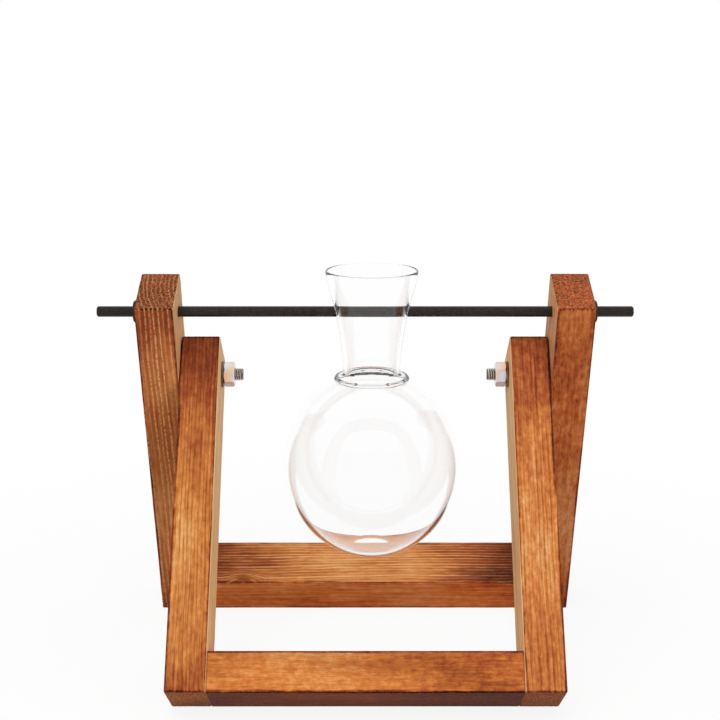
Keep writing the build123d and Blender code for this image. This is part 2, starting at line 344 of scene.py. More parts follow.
def woodMaterial(name, wood):
    material, tree, shader = newMaterial(name)
    local = battenCoordinates(tree, wood)
    thick, wide, along = put(tree, "ShaderNodeSeparateXYZ", {0: local}).outputs
    depth, edge, endDepth = faceDistances(tree, local, wood)
    line, knot = growthRings(tree, local, wood)
    foot = calc(tree, "LESS_THAN", along, 0.0)
    fields = {}
    for field in ("blotch", "streak", "mottle", "fibre"):
        fields[field] = woodNoise(tree, local, wood["seed"], field)
    masks = faceMasks(tree, wood, thick, wide, endDepth)
    burnt = scorching(tree, wood, along, fields["blotch"], masks["front"])
    tone = stainTone(tree, wood, fields, masks, foot, edge, burnt)

    colour = stainedColour(tree, wood, local, tone, masks["front"])
    fade = calc(tree, "MAXIMUM", masks["offTop"], calc(tree, "MULTIPLY", masks["end"], wood["endFade"]))
    line = calc(tree, "MULTIPLY", line, calc(tree, "SUBTRACT", 1.0, fade))
    colour = ringLines(tree, wood, line, burnt, colour)
    # painted sheen on the faces between the posts
    colour = blended(tree, masks["inner"], colour, paintedSheenColour(tree, line, fields["streak"]))
    colour = endGrain(tree, local, masks["end"], foot, colour)
    knotCore = ease(tree, knot, *figure["knotBand"], 0.0, figure["knotDark"])
    colour = blended(tree, knotCore, colour, stain["scorched"])
    # painted shade: the walls of the drilled holes darken with depth
    bore = ease(tree, depth, *depths["bore"], 0.0, figure["boreShade"])
    colour = blended(tree, bore, colour, stain["scorched"])
    plug(tree, shader.inputs["Base Color"], colour)

    rough = calc(tree, "MULTIPLY_ADD", fields["mottle"], surface["mottleRough"], stain["roughness"])
    rough = calc(tree, "MULTIPLY_ADD", fields["fibre"], surface["fibreRough"], rough)
    plug(tree, shader.inputs["Roughness"], rough)
    shader.inputs["Specular IOR Level"].default_value = stain["shine"]
    height = calc(tree, "MULTIPLY", fields["fibre"], surface["fibreRise"])
    height = calc(tree, "MULTIPLY_ADD", line, surface["lineRise"], height)
    height = calc(tree, "MULTIPLY_ADD", fields["mottle"], surface["mottleRise"], height)
    wires = {"Strength": surface["bump"], "Distance": surface["bumpDepth"], "Height": height}
    plug(tree, shader.inputs["Normal"], put(tree, "ShaderNodeBump", wires).outputs[0])
    return material


# Battens: a gridded bar, its edges rounded unevenly, its grain raised, its holes drilled

battenShape = {
    "easing": 0.8,
    "wear": 0.22,
    "wearCells": (0.11, 0.11, 0.11),
    "wearAside": 5.0,
    "drillLength": 60.0,
    "cellsAcross": 34,
    "cellsWide": 56,
    "cellsAlong": 64,
    "crowding": (0.78, 0.82, 0.95),  # how closely the grid crowds towards the edges
    "pivotRadius": 3.08,
    "rodRadius": 2.48,
    "sinkMouth": 6.43,
    "sinkRim": 0.6,
    "holeSides": 72,
    "sharpAngle": 38.0,
}

# One entry for each batten. Pith places, spacings and reaches are in millimetres
plainWood = {
    "tone": 0.72, "blotch": 0.50, "streak": 0.45, "mottle": 0.34, "fibre": 0.28, "fleck": 0.12,
    "scorchHigh": 0.30, "reachHigh": 40.0, "scorchLow": 0.16, "reachLow": 30.0,
    # this line also holds the weight of the painted sheen on the inner faces and of the painted shade on the
    # undersides
    "edgeDark": 0.46, "innerSheen": 0.94, "underShade": 0.0, "lineTop": 0.0, "frontEven": 0.0,
    "endFade": 0.0, "footLift": 0.05,
    # the second tint here is painted shade on the front and back faces
    "tint": (1.0, 1.0, 1.0, 1.0), "frontShadeTint": (1.0, 1.0, 1.0, 1.0),
    "pithThick": -64.0, "pithWide": 9.0, "spacing": 1.7, "slant": 0.012, "sway": 5.0, "wobble": 1.3,
    "lineHalf": 0.30, "broken": 0.35, "dash": 0.12, "lineDark": 0.35, "lineLight": 0.0, "relief": 0.07,
    "knotWide": 500.0, "knotAlong": 500.0, "knotReach": 4.0, "knotPull": 5.0,
}
battens = {
    "front_post_left": {
        "seed": 4.0, "tone": 0.75, "scorchHigh": 0.35, "reachHigh": 104.0, "lineDark": 0.50, "spacing": 1.5,
        "scorchLow": 0.20, "reachLow": 34.0, "streak": 0.52, "blotch": 0.66, "mottle": 0.50, "dash": 0.06,
        "fleck": 0.10, "footLift": 0.32, "tint": (0.98, 1.01, 1.04, 1.0),
    },
    "front_post_right": {
        "seed": 9.0, "tone": 0.70, "scorchHigh": 0.25, "reachHigh": 60.0, "lineDark": 0.46, "spacing": 1.7,
        "mottle": 0.66, "scorchLow": 0.0, "fleck": 0.20, "streak": 0.52, "dash": 0.06, "footLift": 0.14,
        "tint": (0.98, 0.96, 1.06, 1.0),
    },
    "rear_post_left": {
        "seed": 15.0, "tone": 0.73, "lineLight": 1.0, "lineDark": 0.0, "spacing": 1.9, "relief": 0.14,
        "lineHalf": 0.30, "broken": 0.12, "dash": 0.7, "scorchHigh": 0.2, "scorchLow": 0.26, "innerSheen": 0.6,
        "endFade": 0.55, "tint": (1.0, 0.90, 0.94, 1.0),
    },
    "rear_post_right": {
        "seed": 22.0, "tone": 0.79, "mottle": 0.90, "lineDark": 0.25, "lineLight": 0.10, "spacing": 2.4,
        "scorchHigh": 0.14, "reachHigh": 80.0, "scorchLow": 0.36, "reachLow": 50.0, "fleck": 0.45,
        "innerSheen": 0.45, "tint": (1.0, 0.79, 0.84, 1.0),
    },
    "front_crossbar": {
        "seed": 31.0, "tone": 0.82, "mottle": 0.62, "streak": 0.36, "pithThick": 8.0, "pithWide": 60.0,
        # the underside weight here is painted shade
        "scorchHigh": 0.26, "reachHigh": 70.0, "scorchLow": 0.14, "innerSheen": 0.0, "underShade": 0.34,
        "spacing": 3.0, "lineDark": 0.42, "fleck": 0.30, "tint": (1.0, 0.93, 0.92, 1.0),
    },
    "rear_crossbar": {
        "seed": 38.0, "tone": 0.76, "pithThick": 6.0, "pithWide": 70.0, "lineLight": 1.0, "lineDark": 0.0,
        "spacing": 2.0, "relief": 0.14, "lineHalf": 0.30, "dash": 0.14, "slant": 0.03, "lineTop": 1.0,
        # the front and back tint here is painted shade
        "frontShadeTint": (1.21, 0.90, 0.88, 1.0), "frontEven": 0.85, "streak": 0.60, "blotch": 0.6,
        "scorchHigh": 0.54, "reachHigh": 74.0, "scorchLow": 0.40, "reachLow": 52.0, "innerSheen": 0.0,
        "knotWide": -12.0, "knotAlong": -60.0, "knotReach": 7.0, "knotPull": 4.5,
    },
}


def leanOf(frameName):  # from the middle of a frame's dowels to the fold's pivot
    middle = Vector((0, 0, 0))
    for number in (1, 2):
        low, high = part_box(f"{frameName}_dowel_{number}_right")
        middle += (low + high) / 4
    return math.atan2(middle.y - foldPivot.y, foldPivot.z - middle.z)


def localBox(node, place):  # a node's lowest and highest corners in a leaning frame's own directions
    inverse = place.inverted()
    points = [inverse @ vertex.co for vertex in frame["nodes"][node].data.vertices]
    low = Vector([min(point[axis] for point in points) for axis in range(3)])
    high = Vector([max(point[axis] for point in points) for axis in range(3)])
    return low, high


leans = {name: leanOf(name) for name in ("front", "rear")}
places = {
    name: Matrix.Translation(foldPivot) @ Matrix.Rotation(lean, 4, "X") for name, lean in leans.items()
}
rodOnPost = places["rear"].inverted() @ rodCentre

battenInputs = [
    ("Size", "NodeSocketVector"), ("Easing", "NodeSocketFloat"), ("Wear", "NodeSocketFloat"),
    ("Eased Ends", "NodeSocketFloat"), ("Relief", "NodeSocketFloat"), ("Seed", "NodeSocketFloat"),
    ("Cells Across", "NodeSocketInt"), ("Cells Wide", "NodeSocketInt"), ("Cells Along", "NodeSocketInt"),
    ("Crowding", "NodeSocketVector"),
    ("Pith Thick", "NodeSocketFloat"), ("Pith Wide", "NodeSocketFloat"), ("Ring Spacing", "NodeSocketFloat"),
    ("Slant", "NodeSocketFloat"), ("Sway", "NodeSocketFloat"), ("Wobble", "NodeSocketFloat"),
    ("Line Half", "NodeSocketFloat"), ("Broken", "NodeSocketFloat"), ("Dash", "NodeSocketFloat"),
    ("Knot Wide", "NodeSocketFloat"), ("Knot Along", "NodeSocketFloat"),
    ("Knot Reach", "NodeSocketFloat"), ("Knot Pull", "NodeSocketFloat"),
    ("Pivot Hole Radius", "NodeSocketFloat"), ("Pivot Hole Place", "NodeSocketVector"),
    ("Rod Hole Radius", "NodeSocketFloat"), ("Rod Hole Place", "NodeSocketVector"),
    ("Sink Mouth", "NodeSocketFloat"), ("Sink Depth", "NodeSocketFloat"),
    ("Sink Place", "NodeSocketVector"), ("Sink Turn", "NodeSocketVector"), ("Hole Sides", "NodeSocketInt"),
    ("Sharp Angle", "NodeSocketFloat"),
    ("Turn", "NodeSocketVector"), ("Lean", "NodeSocketVector"), ("Place", "NodeSocketVector"),
    ("Wood", "NodeSocketMaterial"),
]


def battenTree():
    tree = bpy.data.node_groups.new("eased batten", "GeometryNodeTree")
    for name, kind in battenInputs:
        tree.interface.new_socket(name=name, in_out="INPUT", socket_type=kind)
    tree.interface.new_socket(name="Geometry", in_out="OUTPUT", socket_type="NodeSocketGeometry")
    given = tree.nodes.new("NodeGroupInput").outputs
    wires = {
        "Size": (2, 2, 2), "Vertices X": given["Cells Across"],
        "Vertices Y": given["Cells Wide"], "Vertices Z": given["Cells Along"],
    }
    cube = put(tree, "GeometryNodeMeshCube", wires).outputs["Mesh"]

    # The grid crowds towards the edges, then takes the batten's size
    start = put(tree, "GeometryNodeInputPosition").outputs[0]
    crowd = scaled(tree, given["Crowding"], 0.5)
    lead = vectorCalc(tree, "MULTIPLY", start, vectorCalc(tree, "ADD", crowd, (1, 1, 1)))
    cubed = vectorCalc(tree, "MULTIPLY", start, vectorCalc(tree, "MULTIPLY", start, start))
    warped = vectorCalc(tree, "SUBTRACT", lead, vectorCalc(tree, "MULTIPLY", cubed, crowd))
    half = scaled(tree, given["Size"], 0.5)
    flat = vectorCalc(tree, "MULTIPLY", warped, half)

    # Each corner is a round one about an inner box, and the rounding varies along the edge
    wires = {0: given["Seed"], 1: battenShape["wearAside"], 2: given["Seed"]}
    shift = put(tree, "ShaderNodeCombineXYZ", wires).outputs[0]
    uneven = noise(tree, vectorCalc(tree, "MULTIPLY_ADD", flat, battenShape["wearCells"], shift), 1.0, 2.0)
    wear = calc(tree, "MULTIPLY", given["Wear"], 2.0)
    uneven = calc(tree, "MULTIPLY", calc(tree, "SUBTRACT", uneven, 0.5), wear)
    radius = calc(tree, "MULTIPLY", given["Easing"], calc(tree, "ADD", 1.0, uneven))
    endRadius = calc(tree, "MULTIPLY", radius, given["Eased Ends"])
    inset = put(tree, "ShaderNodeCombineXYZ", {0: radius, 1: radius, 2: endRadius}).outputs[0]
    inner = vectorCalc(tree, "SUBTRACT", half, inset)
    centre = vectorCalc(tree, "MINIMUM", flat, inner)
    centre = vectorCalc(tree, "MAXIMUM", centre, scaled(tree, inner, -1.0))
    out = vectorCalc(tree, "SUBTRACT", flat, centre)
    parts = put(tree, "ShaderNodeSeparateXYZ", {0: vectorCalc(tree, "ABSOLUTE", out)}).outputs
    largest = calc(tree, "MAXIMUM", calc(tree, "MAXIMUM", parts[0], parts[1]), parts[2])
    length = put(tree, "ShaderNodeVectorMath", {0: out}, operation="LENGTH").outputs["Value"]
    rounded = vectorCalc(tree, "ADD", centre, scaled(tree, out, calc(tree, "DIVIDE", largest, length)))
    bar = put(tree, "GeometryNodeSetPosition", {"Geometry": cube, "Position": rounded}).outputs[0]

    # Softer wood between the ring lines lies a little lower
    wood = {
        "seed": given["Seed"], "sway": given["Sway"], "wobble": given["Wobble"],
        "pithThick": given["Pith Thick"], "pithWide": given["Pith Wide"], "slant": given["Slant"],
        "spacing": given["Ring Spacing"], "lineHalf": given["Line Half"], "broken": given["Broken"],
        "dash": given["Dash"],
        "knotWide": given["Knot Wide"], "knotAlong": given["Knot Along"],
        "knotReach": given["Knot Reach"], "knotPull": given["Knot Pull"],
    }
    line = growthRings(tree, put(tree, "GeometryNodeInputPosition").outputs[0], wood)[0]
    lower = calc(tree, "MULTIPLY", calc(tree, "SUBTRACT", line, 1.0), given["Relief"])
    offset = scaled(tree, put(tree, "GeometryNodeInputNormal").outputs[0], lower)
    bar = put(tree, "GeometryNodeSetPosition", {"Geometry": bar, "Offset": offset}).outputs[0]

    # Holes across the thickness, and the countersink for the bolt's head
    drills = []
    for hole in ("Pivot", "Rod"):
        wires = {
            "Vertices": given["Hole Sides"], "Radius": given[hole + " Hole Radius"],
            "Depth": battenShape["drillLength"],
        }
        drill = put(tree, "GeometryNodeMeshCylinder", wires).outputs["Mesh"]
        wires = {
            "Geometry": drill, "Rotation": (0, math.pi / 2, 0), "Translation": given[hole + " Hole Place"],
        }
        drills.append(put(tree, "GeometryNodeTransform", wires).outputs[0])
    wires = {
        "Vertices": given["Hole Sides"], "Radius Top": given["Sink Mouth"], "Radius Bottom": 0.0,
        "Depth": given["Sink Depth"],
    }
    sink = put(tree, "GeometryNodeMeshCone", wires).outputs["Mesh"]
    wires = {"Geometry": sink, "Rotation": given["Sink Turn"], "Translation": given["Sink Place"]}
    drills.append(put(tree, "GeometryNodeTransform", wires).outputs[0])
    for drill in drills:
        cut = put(tree, "GeometryNodeMeshBoolean", {"Mesh 1": bar, "Mesh 2": drill}, operation="DIFFERENCE")
        bar = cut.outputs["Mesh"]

    angle = put(tree, "GeometryNodeInputMeshEdgeAngle").outputs["Unsigned Angle"]
    sharp = put(tree, "FunctionNodeCompare", {0: angle, 1: given["Sharp Angle"]}, operation="GREATER_THAN")
    wires = {"Geometry": bar, "Shade Smooth": True}
    bar = put(tree, "GeometryNodeSetShadeSmooth", wires, domain="FACE").outputs[0]
    wires = {"Geometry": bar, "Selection": sharp.outputs[0], "Shade Smooth": False}
    bar = put(tree, "GeometryNodeSetShadeSmooth", wires, domain="EDGE").outputs[0]
    bar = put(tree, "GeometryNodeTransform", {"Geometry": bar, "Rotation": given["Turn"]}).outputs[0]
    wires = {
        "Geometry": bar, "Rotation": given["Lean"], "Translation": given["Place"], "Scale": (mm, mm, mm),
    }
    bar = put(tree, "GeometryNodeTransform", wires).outputs[0]
    bar = put(tree, "GeometryNodeRealizeInstances", {"Geometry": bar}).outputs[0]
    bar = put(tree, "GeometryNodeSetMaterial", {"Geometry": bar, "Material": given["Wood"]}).outputs[0]
    plug(tree, tree.nodes.new("NodeGroupOutput").inputs[0], bar)
    return tree


def grow(piece, tree, values):  # runs a geometry tree on a piece and keeps the result as its plain mesh
    modifier = piece.modifiers.new("shape", "NODES")
    modifier.node_group = tree
    for item in tree.interface.items_tree:
        if item.in_out == "INPUT" and item.name in values:
            modifier[item.identifier] = values[item.name]
    graph = bpy.context.evaluated_depsgraph_get()
    mesh = bpy.data.meshes.new_from_object(piece.evaluated_get(graph), depsgraph=graph)
    piece.modifiers.remove(modifier)
    old = piece.data
    piece.data = mesh
    bpy.data.meshes.remove(old)
    mesh.name = piece.name
    return piece


def newPiece(name, mesh=None):
    piece = bpy.data.objects.new(name, mesh or bpy.data.meshes.new(name))
    bpy.context.scene.collection.objects.link(piece)
    return piece


def finishPiece(piece, body, node):
    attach(piece, body)
    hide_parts(node)


def makeBatten(node, tree):
    frameName = node.split("_")[0]
    isCrossbar = node.endswith("crossbar")
    place = places[frameName]
    low, high = localBox(node, place)
    size = (high - low) / mm
    centre = place @ ((low + high) / 2)
    side = 1 if centre.x > 0 else -1
    along = (size.z, size.y, size.x) if isCrossbar else tuple(size)
    wood = dict(plainWood, **battens[node])
    wood["centre"] = centre
    wood["lean"] = leans[frameName]
    wood["crossbar"] = isCrossbar
    wood["half"] = tuple(value / 2 for value in along)
    wood["innerSide"] = 1 if isCrossbar else -side
    if not isCrossbar:
        wood["pithThick"] *= side
    material = woodMaterial(node + " wood", wood)
    away = (0.0, 0.0, 400.0)  # a hole here misses the batten
    localCentre = (low + high) / 2 / mm
    hasPivot = not isCrossbar
    hasRod = hasPivot and frameName == "rear"
    pivotPlace = (0.0, 0.0, -localCentre.z) if hasPivot else away
    rodPlace = (0.0, 0.0, rodOnPost.z / mm - localCentre.z) if hasRod else away
    sinkDepth = battenShape["sinkMouth"]
    sinkAcross = side * size.x / 2 - side * (battenShape["sinkRim"] + sinkDepth)
    sinkPlace = (sinkAcross, 0.0, -localCentre.z) if hasRod else away
    values = {
        "Size": along, "Easing": battenShape["easing"], "Wear": battenShape["wear"],
        "Eased Ends": 0.0 if isCrossbar else 1.0, "Relief": wood["relief"], "Seed": wood["seed"],
        "Cells Across": battenShape["cellsAcross"], "Cells Wide": battenShape["cellsWide"],
        "Cells Along": battenShape["cellsAlong"], "Crowding": battenShape["crowding"],
        "Pith Thick": wood["pithThick"], "Pith Wide": wood["pithWide"], "Ring Spacing": wood["spacing"],
        "Slant": wood["slant"], "Sway": wood["sway"], "Wobble": wood["wobble"],
        "Line Half": wood["lineHalf"], "Broken": wood["broken"], "Dash": wood["dash"],
        "Knot Wide": wood["knotWide"], "Knot Along": wood["knotAlong"],
        "Knot Reach": wood["knotReach"], "Knot Pull": wood["knotPull"],
        "Pivot Hole Radius": battenShape["pivotRadius"], "Pivot Hole Place": pivotPlace,
        "Rod Hole Radius": battenShape["rodRadius"], "Rod Hole Place": rodPlace,
        "Sink Mouth": sinkDepth, "Sink Depth": sinkDepth, "Sink Place": sinkPlace,
        "Sink Turn": (0.0, side * math.pi / 2, 0.0), "Hole Sides": battenShape["holeSides"],
        "Sharp Angle": math.radians(battenShape["sharpAngle"]),
        "Turn": (0.0, math.pi / 2, 0.0) if isCrossbar else (0.0, 0.0, 0.0),
        "Lean": (wood["lean"], 0.0, 0.0), "Place": tuple(centre), "Wood": material,
    }
    piece = grow(newPiece(node + "_batten"), tree, values)
    finishPiece(piece, frameName + "_frame", node)
    print("  ", piece.name, len(piece.data.polygons), "faces")


eased = battenTree()
for node in battens:
    makeBatten(node, eased)
print("stage 2: battens made")


# Turned pieces. A ring is a function of the angle that gives a place along X and a radius

def turned(name, rings, sides, closed=False):
    shape = bmesh.new()
    rows = []
    for ring in rings:
        spots = [ring(2 * math.pi * step / sides) for step in range(sides)]
        if spots[0][1] == 0:
            rows.append([shape.verts.new((spots[0][0], 0, 0))] * sides)
            continue
        row = []
        for step, (x, radius) in enumerate(spots):
            angle = 2 * math.pi * step / sides
            row.append(shape.verts.new((x, radius * math.cos(angle), radius * math.sin(angle))))
        rows.append(row)
    pairs = list(zip(rows, rows[1:] + rows[:1]))
    for first, second in pairs if closed else pairs[:-1]:
        for step in range(sides):
            following = (step + 1) % sides
            corners = []
            for corner in (first[step], first[following], second[following], second[step]):
                if corner not in corners:
                    corners.append(corner)
            shape.faces.new(corners)
    bmesh.ops.recalc_face_normals(shape, faces=shape.faces)
    mesh = bpy.data.meshes.new(name)
    shape.to_mesh(mesh)
    shape.free()
    return mesh


def level(x, radius):  # a plain round ring
    return lambda angle: (x, radius)


def hexRadius(flats, angle):  # out to a hexagon's side, with its corners at 0 and each 60 degrees
    turn = (angle % (math.pi / 3)) - math.pi / 6
    return flats / 2 / math.cos(turn)


def rounding(x, radius, size, start, end, steps=6):  # rings on a quarter turn about a centre
    rings = []
    for step in range(steps + 1):
        turn = math.radians(start + (end - start) * step / steps)
        rings.append(level(x + size * math.cos(turn), radius + size * math.sin(turn)))
    return rings


def smoothMesh(mesh, material, sharpAngle=35.0):
    mesh.shade_smooth()
    mesh.set_sharp_from_angle(angle=math.radians(sharpAngle))
    mesh.materials.append(material)


# Scales are noise cells to a metre
plating = {
    "cloudScale": 200.0, "cloudBand": (0.35, 0.65), "fineScale": 4200.0, "roughSpread": 0.25,
    "bumpDepth": 0.03 * mm,
}
coating = {"cloudBand": (0.4, 0.7), "roughSpread": 0.3, "bump": 0.4, "bumpDepth": 0.03 * mm}


def metalMaterial(name, colour, second, roughness, grain, rootShading=None):
    material, tree, shader = newMaterial(name)
    coordinates = put(tree, "ShaderNodeTexCoord").outputs["Object"]
    cloud = noise(tree, coordinates, plating["cloudScale"])
    # the cloud mixes the two colours in patches: on the nuts they are painted reflections, on the washers
    # painted shade
    colourOut = blended(tree, ease(tree, cloud, *plating["cloudBand"]), colour, second)
    if rootShading:  # dirt and painted shade: the thread's roots are darkened
        across = vectorCalc(tree, "SUBTRACT", coordinates, tuple(foldPivot))
        across = vectorCalc(tree, "MULTIPLY", across, (0, 1, 1))
        radius = put(tree, "ShaderNodeVectorMath", {0: across}, operation="LENGTH").outputs["Value"]
        away = calc(tree, "ABSOLUTE", calc(tree, "SUBTRACT", radius, rootShading["radius"]))
        rootShadeMask = ease(tree, away, 0.0, rootShading["reach"], 1.0, 0.0)
        colourOut = blended(tree, rootShadeMask, colourOut, rootShading["colour"])
    plug(tree, shader.inputs["Base Color"], colourOut)
    shader.inputs["Metallic"].default_value = 1.0
    fromMiddle = calc(tree, "SUBTRACT", cloud, 0.5)
    rough = calc(tree, "MULTIPLY_ADD", fromMiddle, plating["roughSpread"], roughness)
    plug(tree, shader.inputs["Roughness"], rough)
    fine = noise(tree, coordinates, plating["fineScale"])
    wires = {"Strength": grain, "Distance": plating["bumpDepth"], "Height": fine}
    plug(tree, shader.inputs["Normal"], put(tree, "ShaderNodeBump", wires).outputs[0])
    return material


def darkMaterial(name, colour, second, roughness, shine, size):
    material, tree, shader = newMaterial(name)
    coordinates = put(tree, "ShaderNodeTexCoord").outputs["Object"]
    cloud = noise(tree, coordinates, size, 3.0, 0.6)
    colourOut = blended(tree, ease(tree, cloud, *coating["cloudBand"]), colour, second)
    plug(tree, shader.inputs["Base Color"], colourOut)
    fromMiddle = calc(tree, "SUBTRACT", cloud, 0.5)
    rough = calc(tree, "MULTIPLY_ADD", fromMiddle, coating["roughSpread"], roughness)
    plug(tree, shader.inputs["Roughness"], rough)
    shader.inputs["Specular IOR Level"].default_value = shine
    wires = {"Strength": coating["bump"], "Distance": coating["bumpDepth"], "Height": cloud}
    plug(tree, shader.inputs["Normal"], put(tree, "ShaderNodeBump", wires).outputs[0])
    return material


# Rod and rubber rings

rod = {"radius": 2.4, "chamfer": 0.5, "sides": 72, "rows": 24, "sharpAngle": 30.0}
ring = {"outside": 5.0, "grip": 2.42, "rounding": 0.9, "sides": 96}
blackPaint = darkMaterial("black rod paint", screen(30, 24, 21), screen(46, 38, 33), 0.34, 0.22, 900.0)
blackRubber = darkMaterial("black rubber", screen(30, 27, 26), screen(44, 40, 38), 0.62, 0.25, 1600.0)

low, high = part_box("hanging_rod")
chamfer = rod["chamfer"] * mm
radius = rod["radius"] * mm
rodRings = [level(low.x, 0), level(low.x, radius - chamfer), level(low.x + chamfer, radius)]
straight = high.x - low.x - 2 * chamfer
for row in range(1, rod["rows"]):
    rodRings.append(level(low.x + chamfer + straight * row / rod["rows"], radius))
rodRings += [level(high.x - chamfer, radius), level(high.x, radius - chamfer), level(high.x, 0)]
rodMesh = turned("black_rod", rodRings, rod["sides"])
rodMesh.transform(Matrix.Translation((0, rodCentre.y, rodCentre.z)))
smoothMesh(rodMesh, blackPaint, rod["sharpAngle"])
finishPiece(newPiece("black_rod", rodMesh), "rod", "hanging_rod")

for side in ("left", "right"):
    low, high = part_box("rod_ring_" + side)
    soft = ring["rounding"] * mm
    outside = ring["outside"] * mm
    rings = [level(low.x, ring["grip"] * mm)]
    rings += rounding(low.x + soft, outside - soft, soft, 180, 90)
    rings += rounding(high.x - soft, outside - soft, soft, 90, 0)
    rings.append(level(high.x, ring["grip"] * mm))
    ringMesh = turned("rubber_ring_" + side, rings, ring["sides"], closed=True)
    ringMesh.transform(Matrix.Translation((0, rodCentre.y, rodCentre.z)))
    smoothMesh(ringMesh, blackRubber)
    finishPiece(newPiece("rubber_ring_" + side, ringMesh), "rod", "rod_ring_" + side)
print("stage 3: rod and rings made")


# Bolts, nuts and washers. The thread is cut into the bolt's tip by a geometry tree

bolt = {
    "radius": 3.0, "tipChamfer": 0.8, "pitch": 1.0, "threadDepth": 0.5, "threadLength": 12.0,
    "rowsPerTurn": 10, "flankBand": (0.1, 0.9), "fadeFrom": 0.9, "headRadius": 6.0, "headRim": 0.4,
    "headInner": 0.6, "socketFlats": 4.0, "socketLead": 1.08, "socketDepth": 2.5, "socketFloor": 0.42,
    "socketPoint": 0.45, "sides": 72, "sharpAngle": 40.0,
}
nut = {
    "flats": 10.0, "bore": 2.6, "faceRadius": 4.75, "turnedSlope": 0.577, "lead": 0.45, "sides": 96,
    "sharpAngle": 25.0,
}
washer = {"bore": 3.2, "rounding": 0.2, "sides": 96}
# dirt and painted shade in the thread's roots: where, how far and how dark
threadRootShade = {"radius": 2.45 * mm, "reach": 0.42 * mm, "colour": screen(104, 100, 95)}
# painted reflections: the nuts' bluish-white and peach patches stand in for reflected sky and wood
zinc = metalMaterial("zinc plating", screen(216, 222, 230), screen(244, 200, 164), 0.20, 0.15)
threadZinc = metalMaterial("zinc thread", screen(222, 216, 208), screen(198, 190, 182), 0.28, 0.1, threadRootShade)
# painted shade: the washers are coloured dark for their shadow between the nut and the post
shadedZinc = metalMaterial("shaded zinc", screen(142, 120, 100), screen(110, 90, 74), 0.42, 0.3)

threadInputs = [
    ("Geometry", "NodeSocketGeometry"), ("Pitch", "NodeSocketFloat"), ("Depth", "NodeSocketFloat"),
    ("Start", "NodeSocketFloat"), ("Length", "NodeSocketFloat"), ("Radius", "NodeSocketFloat"),
    ("Metal", "NodeSocketMaterial"),
]


def threadTree():  # lowers the outer surface between two places along X on a helix
    tree = bpy.data.node_groups.new("cut thread", "GeometryNodeTree")
    for name, kind in threadInputs:
        tree.interface.new_socket(name=name, in_out="INPUT", socket_type=kind)
    tree.interface.new_socket(name="Geometry", in_out="OUTPUT", socket_type="NodeSocketGeometry")
    given = tree.nodes.new("NodeGroupInput").outputs
    position = put(tree, "GeometryNodeInputPosition").outputs[0]
    x, y, z = put(tree, "ShaderNodeSeparateXYZ", {0: position}).outputs
    travel = calc(tree, "SUBTRACT", x, given["Start"])
    turns = calc(tree, "DIVIDE", calc(tree, "ARCTAN2", z, y), 2 * math.pi)
    phase = calc(tree, "FRACT", calc(tree, "SUBTRACT", calc(tree, "DIVIDE", travel, given["Pitch"]), turns))
    flank = calc(tree, "MULTIPLY", calc(tree, "ABSOLUTE", calc(tree, "SUBTRACT", phase, 0.5)), 2.0)
    flank = ease(tree, flank, *bolt["flankBand"])
    fadeStart = calc(tree, "MULTIPLY", given["Length"], bolt["fadeFrom"])
    fade = ease(tree, travel, fadeStart, given["Length"], 1.0, 0.0)
    cut = calc(tree, "MULTIPLY", calc(tree, "MULTIPLY", flank, fade), given["Depth"])
    radius = calc(tree, "SQRT", calc(tree, "MULTIPLY_ADD", y, y, calc(tree, "MULTIPLY", z, z)))
    floorRadius = calc(tree, "SUBTRACT", given["Radius"], cut)
    kept = calc(tree, "MINIMUM", radius, floorRadius)
    share = calc(tree, "DIVIDE", kept, radius)
    squeeze = put(tree, "ShaderNodeCombineXYZ", {0: 1.0, 1: share, 2: share}).outputs[0]
    moved = vectorCalc(tree, "MULTIPLY", position, squeeze)
    threaded = calc(tree, "LESS_THAN", travel, given["Length"])
    onRadius = calc(tree, "GREATER_THAN", radius, calc(tree, "MULTIPLY", given["Radius"], 0.5))
    chosen = calc(tree, "MULTIPLY", threaded, onRadius)
    wires = {"Geometry": given["Geometry"], "Selection": chosen, "Position": moved}
    cutMesh = put(tree, "GeometryNodeSetPosition", wires).outputs[0]
    cutMesh = put(tree, "GeometryNodeRealizeInstances", {"Geometry": cutMesh}).outputs[0]
    wires = {"Geometry": cutMesh, "Material": given["Metal"]}
    cutMesh = put(tree, "GeometryNodeSetMaterial", wires).outputs[0]
    plug(tree, tree.nodes.new("NodeGroupOutput").inputs[0], cutMesh)
    return tree


def hexLevel(x, flats):
    return lambda angle: (x, hexRadius(flats, angle))


def boltRings(length):  # from the tip's middle to the socket's bottom
    radius = bolt["radius"] * mm
    tip = bolt["tipChamfer"] * mm
    rings = [level(0, 0), level(0, (radius - tip) / 2), level(0, radius - tip)]
    rows = int(bolt["threadLength"] / bolt["pitch"] * bolt["rowsPerTurn"])
    for row in range(1, rows + 1):
        x = bolt["threadLength"] * mm * row / rows
        rings.append(level(x, min(radius, radius - tip + x)))
    headRadius = bolt["headRadius"] * mm
    rim = bolt["headRim"] * mm
    socket = bolt["socketDepth"] * mm
    flats = bolt["socketFlats"] * mm
    rings.append(level(length - rim - (headRadius - radius), radius))
    rings.append(level(length - rim, headRadius))
    rings += rounding(length - rim / 2, headRadius - rim / 2, rim / 2, 90, 0, 3)
    rings.append(level(length, headRadius * bolt["headInner"]))
    rings.append(hexLevel(length, flats * bolt["socketLead"]))
    rings.append(hexLevel(length - rim / 2, flats))
    rings.append(hexLevel(length - socket, flats))
    rings.append(level(length - socket, flats * bolt["socketFloor"]))
    rings.append(level(length - socket - bolt["socketPoint"] * mm, 0))
    return rings


